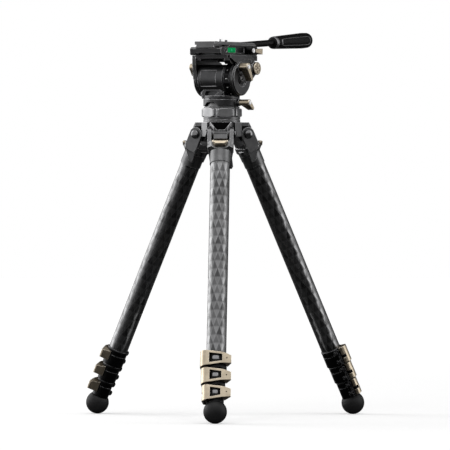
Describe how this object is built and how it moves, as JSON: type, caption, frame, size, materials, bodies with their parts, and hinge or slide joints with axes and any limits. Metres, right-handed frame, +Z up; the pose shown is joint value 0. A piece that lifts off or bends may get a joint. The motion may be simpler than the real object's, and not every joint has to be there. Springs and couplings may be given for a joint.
{
  "type": "video tripod with fluid head",
  "caption": "Video tripod with telescoping flip-lock legs, levelling collar, fluid drum head, quick-release plate and pan handle.",
  "frame": {"origin": "on the floor under the centre line of the crown and the pan axis", "axes": "+Z up along the pan axis, -Y the way the head looks, +X the side of the tilt and pan lock levers"},
  "size_m": [0.411, 0.5749, 0.6381],
  "materials": {
    "black_metal": "satin black anodised",
    "champagne_metal": "satin champagne anodised",
    "carbon": "clear-coated carbon fibre",
    "foot_rubber": "matt",
    "grip_rubber": "matt",
    "steel": "satin",
    "level_vial": "clear green"
  },
  "bodies": {
    "base": {"crown": "black_metal", "leg_pins": "steel", "pan_base": "black_metal"},
    "front_leg_upper": {"front_leg_yoke": "black_metal", "front_leg_tube_1": "carbon", "front_leg_collar_1": "black_metal"},
    "front_leg_section_2": {"front_leg_tube_2": "carbon", "front_leg_collar_2": "black_metal"},
    "front_leg_section_3": {"front_leg_tube_3": "carbon", "front_leg_collar_3": "black_metal"},
    "front_leg_section_4": {"front_leg_tube_4": "carbon", "front_leg_foot": "foot_rubber"},
    "front_leg_latch": {"front_leg_latch": "champagne_metal"},
    "front_leg_lever_1": {"front_leg_lever_1": "champagne_metal"},
    "front_leg_lever_2": {"front_leg_lever_2": "champagne_metal"},
    "front_leg_lever_3": {"front_leg_lever_3": "champagne_metal"},
    "right_leg_upper": {"right_leg_yoke": "black_metal", "right_leg_tube_1": "carbon", "right_leg_collar_1": "black_metal"},
    "right_leg_section_2": {"right_leg_tube_2": "carbon", "right_leg_collar_2": "black_metal"},
    "right_leg_section_3": {"right_leg_tube_3": "carbon", "right_leg_collar_3": "black_metal"},
    "right_leg_section_4": {"right_leg_tube_4": "carbon", "right_leg_foot": "foot_rubber"},
    "right_leg_latch": {"right_leg_latch": "champagne_metal"},
    "right_leg_lever_1": {"right_leg_lever_1": "champagne_metal"},
    "right_leg_lever_2": {"right_leg_lever_2": "champagne_metal"},
    "right_leg_lever_3": {"right_leg_lever_3": "champagne_metal"},
    "left_leg_upper": {"left_leg_yoke": "black_metal", "left_leg_tube_1": "carbon", "left_leg_collar_1": "black_metal"},
    "left_leg_section_2": {"left_leg_tube_2": "carbon", "left_leg_collar_2": "black_metal"},
    "left_leg_section_3": {"left_leg_tube_3": "carbon", "left_leg_collar_3": "black_metal"},
    "left_leg_section_4": {"left_leg_tube_4": "carbon", "left_leg_foot": "foot_rubber"},
    "left_leg_latch": {"left_leg_latch": "champagne_metal"},
    "left_leg_lever_1": {"left_leg_lever_1": "champagne_metal"},
    "left_leg_lever_2": {"left_leg_lever_2": "champagne_metal"},
    "left_leg_lever_3": {"left_leg_lever_3": "champagne_metal"},
    "level_ring": {"level_ring": "black_metal"},
    "tie_down_knob": {"tie_down_knob": "black_metal"},
    "pan_head": {"head_housing": "black_metal", "balance_spring": "steel"},
    "drag_dial": {"drag_dial": "black_metal"},
    "cradle": {"side_plates": "black_metal", "platform": "black_metal", "bubble_level": "level_vial", "tilt_shaft": "steel"},
    "quick_plate": {"quick_plate": "black_metal"},
    "camera_screw": {"camera_screw": "steel"},
    "plate_lock_lever": {"plate_lock_lever": "champagne_metal"},
    "tilt_lock_lever": {"tilt_lock_lever": "champagne_metal"},
    "balance_lever": {"balance_lever": "champagne_metal"},
    "pan_lock_lever": {"pan_lock_lever": "champagne_metal"},
    "pan_handle": {"handle_arm": "black_metal", "handle_grip": "grip_rubber"},
    "handle_knob": {"handle_knob": "champagne_metal"}
  },
  "joints": [
    {"name": "front_leg_hinge", "type": "hinge", "parent": "base", "child": "front_leg_upper", "pos_m": [0.019, -0.03291, 0.464], "axis": [-0.866, -0.5, 0], "range_deg": [-24, 55]},
    {"name": "front_leg_slide_2", "type": "slide", "parent": "front_leg_upper", "child": "front_leg_section_2", "axis": [0.2113, -0.366, -0.9063], "range_m": [0, 0.27]},
    {"name": "front_leg_slide_3", "type": "slide", "parent": "front_leg_section_2", "child": "front_leg_section_3", "axis": [0.2113, -0.366, -0.9063], "range_m": [0, 0.27]},
    {"name": "front_leg_slide_4", "type": "slide", "parent": "front_leg_section_3", "child": "front_leg_section_4", "axis": [0.2113, -0.366, -0.9063], "range_m": [0, 0.27]},
    {"name": "front_leg_latch_slide", "type": "slide", "parent": "front_leg_upper", "child": "front_leg_latch", "axis": [0.4532, -0.7849, 0.4226], "range_m": [0, 0.004], "stiffness_N_per_m": 300},
    {"name": "front_leg_lever_1_hinge", "type": "hinge", "parent": "front_leg_upper", "child": "front_leg_lever_1", "pos_m": [0.09008, -0.19781, 0.09809], "axis": [0.2113, -0.366, -0.9063], "range_deg": [0, 100]},
    {"name": "front_leg_lever_2_hinge", "type": "hinge", "parent": "front_leg_section_2", "child": "front_leg_lever_2", "pos_m": [0.09776, -0.20753, 0.07181], "axis": [0.2113, -0.366, -0.9063], "range_deg": [0, 100]},
    {"name": "front_leg_lever_3_hinge", "type": "hinge", "parent": "front_leg_section_3", "child": "front_leg_lever_3", "pos_m": [0.10545, -0.21724, 0.04552], "axis": [0.2113, -0.366, -0.9063], "range_deg": [0, 100]},
    {"name": "right_leg_hinge", "type": "hinge", "parent": "base", "child": "right_leg_upper", "pos_m": [0.019, 0.03291, 0.464], "axis": [0.866, -0.5, 0], "range_deg": [-24, 55]},
    {"name": "right_leg_slide_2", "type": "slide", "parent": "right_leg_upper", "child": "right_leg_section_2", "axis": [0.2113, 0.366, -0.9063], "range_m": [0, 0.27]},
    {"name": "right_leg_slide_3", "type": "slide", "parent": "right_leg_section_2", "child": "right_leg_section_3", "axis": [0.2113, 0.366, -0.9063], "range_m": [0, 0.27]},
    {"name": "right_leg_slide_4", "type": "slide", "parent": "right_leg_section_3", "child": "right_leg_section_4", "axis": [0.2113, 0.366, -0.9063], "range_m": [0, 0.27]},
    {"name": "right_leg_latch_slide", "type": "slide", "parent": "right_leg_upper", "child": "right_leg_latch", "axis": [0.4532, 0.7849, 0.4226], "range_m": [0, 0.004], "stiffness_N_per_m": 300},
    {"name": "right_leg_lever_1_hinge", "type": "hinge", "parent": "right_leg_upper", "child": "right_leg_lever_1", "pos_m": [0.12627, 0.17691, 0.09809], "axis": [0.2113, 0.366, -0.9063], "range_deg": [0, 100]},
    {"name": "right_leg_lever_2_hinge", "type": "hinge", "parent": "right_leg_section_2", "child": "right_leg_lever_2", "pos_m": [0.13084, 0.18843, 0.07181], "axis": [0.2113, 0.366, -0.9063], "range_deg": [0, 100]},
    {"name": "right_leg_lever_3_hinge", "type": "hinge", "parent": "right_leg_section_3", "child": "right_leg_lever_3", "pos_m": [0.13541, 0.19994, 0.04552], "axis": [0.2113, 0.366, -0.9063], "range_deg": [0, 100]},
    {"name": "left_leg_hinge", "type": "hinge", "parent": "base", "child": "left_leg_upper", "pos_m": [-0.038, 0, 0.464], "axis": [0, 1, 0], "range_deg": [-24, 55]},
    {"name": "left_leg_slide_2", "type": "slide", "parent": "left_leg_upper", "child": "left_leg_section_2", "axis": [-0.4226, 0, -0.9063], "range_m": [0, 0.27]},
    {"name": "left_leg_slide_3", "type": "slide", "parent": "left_leg_section_2", "child": "left_leg_section_3", "axis": [-0.4226, 0, -0.9063], "range_m": [0, 0.27]},
    {"name": "left_leg_slide_4", "type": "slide", "parent": "left_leg_section_3", "child": "left_leg_section_4", "axis": [-0.4226, 0, -0.9063], "range_m": [0, 0.27]},
    {"name": "left_leg_latch_slide", "type": "slide", "parent": "left_leg_upper", "child": "left_leg_latch", "axis": [-0.9063, 0, 0.4226], "range_m": [0, 0.004], "stiffness_N_per_m": 300},
    {"name": "left_leg_lever_1_hinge", "type": "hinge", "parent": "left_leg_upper", "child": "left_leg_lever_1", "pos_m": [-0.21635, 0.0209, 0.09809], "axis": [-0.4226, 0, -0.9063], "range_deg": [0, 100]},
    {"name": "left_leg_lever_2_hinge", "type": "hinge", "parent": "left_leg_section_2", "child": "left_leg_lever_2", "pos_m": [-0.22861, 0.0191, 0.07181], "axis": [-0.4226, 0, -0.9063], "range_deg": [0, 100]},
    {"name": "left_leg_lever_3_hinge", "type": "hinge", "parent": "left_leg_section_3", "child": "left_leg_lever_3", "pos_m": [-0.24086, 0.0173, 0.04552], "axis": [-0.4226, 0, -0.9063], "range_deg": [0, 100]},
    {"name": "level_ring_turn", "type": "hinge", "parent": "base", "child": "level_ring", "pos_m": [0, 0, 0.4922], "axis": [0, 0, 1], "range_deg": [0, 90]},
    {"name": "tie_down_turn", "type": "hinge", "parent": "base", "child": "tie_down_knob", "pos_m": [0, 0, 0.464], "axis": [0, 0, 1], "continuous": true},
    {"name": "pan", "type": "hinge", "parent": "base", "child": "pan_head", "pos_m": [0, 0, 0.5166], "axis": [0, 0, 1], "continuous": true},
    {"name": "drag_dial_turn", "type": "hinge", "parent": "pan_head", "child": "drag_dial", "pos_m": [0.0198, 0, 0.5543], "axis": [1, 0, 0], "range_deg": [0, 270]},
    {"name": "tilt", "type": "hinge", "parent": "pan_head", "child": "cradle", "pos_m": [0, 0, 0.5543], "axis": [1, 0, 0], "range_deg": [-60, 80]},
    {"name": "plate_slide", "type": "slide", "parent": "cradle", "child": "quick_plate", "axis": [0, 1, 0], "range_m": [-0.015, 0.02]},
    {"name": "camera_screw_turn", "type": "hinge", "parent": "quick_plate", "child": "camera_screw", "pos_m": [0, -0.0055, 0.6152], "axis": [0, 0, 1], "continuous": true},
    {"name": "plate_lock_turn", "type": "hinge", "parent": "cradle", "child": "plate_lock_lever", "pos_m": [0.03, 0.029, 0.601], "axis": [1, 0, 0], "range_deg": [0, 80]},
    {"name": "tilt_lock_turn", "type": "hinge", "parent": "cradle", "child": "tilt_lock_lever", "pos_m": [0.0396, -0.006, 0.5738], "axis": [1, 0, 0], "range_deg": [0, 60]},
    {"name": "balance_turn", "type": "hinge", "parent": "cradle", "child": "balance_lever", "pos_m": [-0.0373, -0.006, 0.5738], "axis": [1, 0, 0], "range_deg": [0, 60]},
    {"name": "pan_lock_turn", "type": "hinge", "parent": "pan_head", "child": "pan_lock_lever", "pos_m": [0.0353, 0, 0.5156], "axis": [1, 0, 0], "range_deg": [0, 60]},
    {"name": "handle_pitch", "type": "hinge", "parent": "cradle", "child": "pan_handle", "pos_m": [-0.0428, 0.041, 0.572], "axis": [-1, 0, 0], "range_deg": [-70, 30]},
    {"name": "handle_knob_turn", "type": "hinge", "parent": "cradle", "child": "handle_knob", "pos_m": [0.0396, 0.041, 0.572], "axis": [1, 0, 0], "continuous": true}
  ]
}
